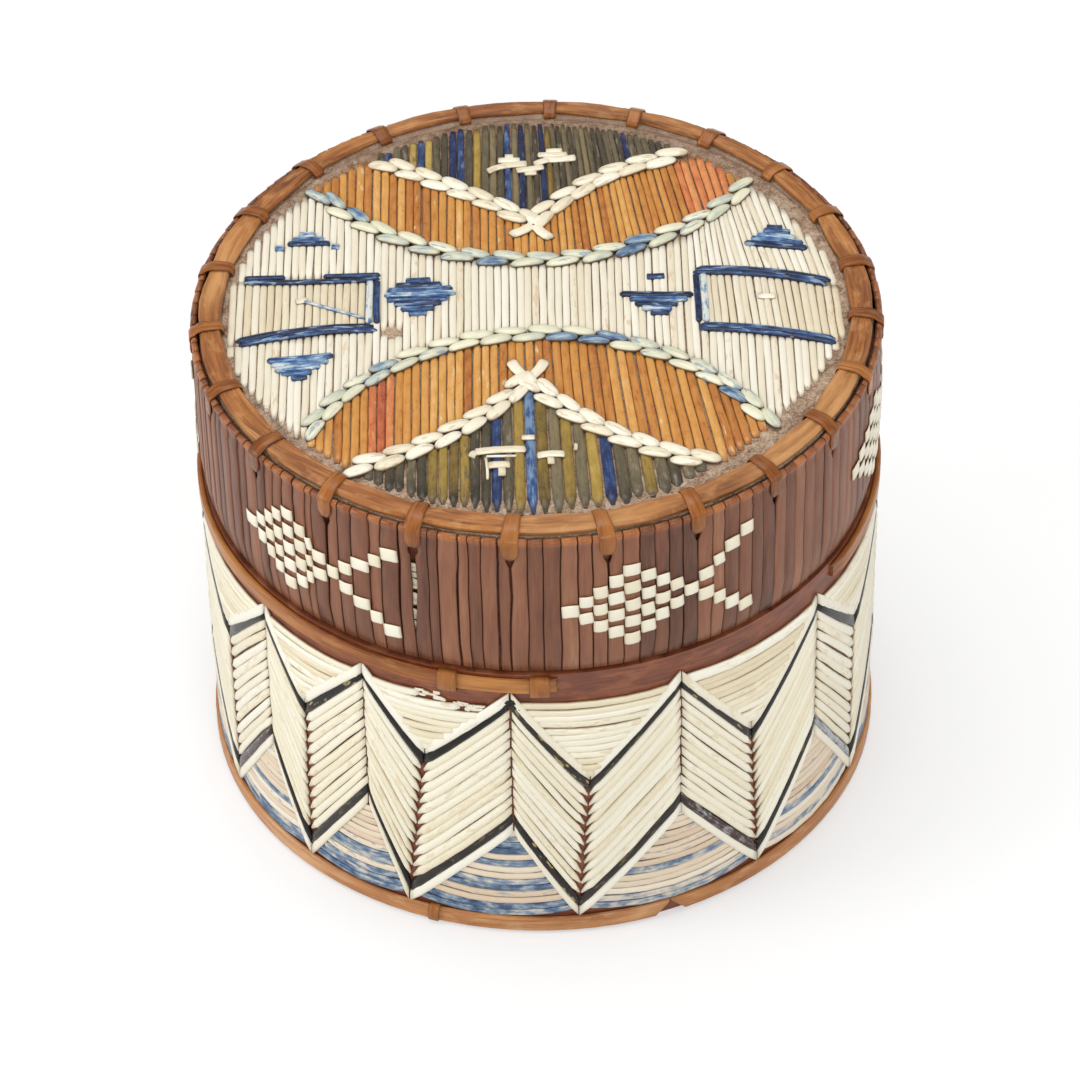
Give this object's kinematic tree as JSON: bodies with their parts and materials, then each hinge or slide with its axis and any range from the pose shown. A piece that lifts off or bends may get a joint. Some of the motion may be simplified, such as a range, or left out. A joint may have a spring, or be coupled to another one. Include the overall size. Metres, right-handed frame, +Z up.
{
  "type": "quill box",
  "caption": "Round bark box with a lift-off lid, covered with dyed quillwork in chevrons, braids and stepped motifs, with root-wrapped lid sides and splint hoops.",
  "frame": {"origin": "centre of the resting face, on the axis of the round box", "axes": "+Z up along the axis of the box and lid, -Y towards the front with the two rim lashings, +X to the right"},
  "size_m": [0.1384, 0.1391, 0.1076],
  "materials": {
    "bark": "satin",
    "bark_fuzzy": "matte",
    "bark_lining": "matte",
    "splint": "satin",
    "base_splint": "satin",
    "root_lashing": "satin",
    "root_dark": "satin",
    "quill_cream": "satin",
    "quill_pale": "satin",
    "quill_white": "satin",
    "quill_braid": "satin",
    "quill_dark": "satin",
    "quill_orange": "satin",
    "quill_red": "satin",
    "quill_olive": "satin",
    "quill_ochre": "satin",
    "quill_navy": "satin",
    "quill_blue_mottled": "satin"
  },
  "bodies": {
    "box": {"base_disc": "bark_lining", "body_wall": "bark", "wall_backing": "bark_lining", "neck_liner": "bark_lining", "base_hoop": "base_splint", "base_lashing": "root_lashing", "rim_hoop": "splint", "rim_lashings": "root_lashing", "triangle_quills": "quill_cream", "upper_outline_quills": "quill_cream", "upper_dark_quills": "quill_dark", "chevron_falling_quills": "quill_cream", "chevron_rising_quills": "quill_cream", "lower_dark_quills": "quill_dark", "lower_outline_quills": "quill_cream", "fan_cream_quills": "quill_pale", "fan_blue_quills": "quill_blue_mottled"},
    "lid": {"lid_disc": "bark_fuzzy", "lid_disc_lining": "bark_lining", "lid_ring": "bark", "lid_ring_lining": "bark_lining", "root_strips": "root_dark", "fish_quills": "quill_white", "lid_hoop": "splint", "lid_lashings": "root_lashing", "cream_field_quills": "quill_cream", "orange_field_quills": "quill_orange", "red_field_quills": "quill_red", "olive_field_quills": "quill_olive", "ochre_field_quills": "quill_ochre", "blue_field_quills": "quill_navy", "upper_arc_braid": "quill_braid", "lower_arc_braid": "quill_braid", "upper_v_braid": "quill_white", "lower_v_braid": "quill_white", "blue_frame_quills": "quill_navy", "blue_pyramid_quills": "quill_navy", "blue_diamond_quills": "quill_navy", "white_figure_quills": "quill_white"}
  },
  "joints": [
    {"name": "lid_lift", "type": "slide", "parent": "box", "child": "lid", "axis": [0, 0, 1], "range_m": [0, 0.04]}
  ]
}
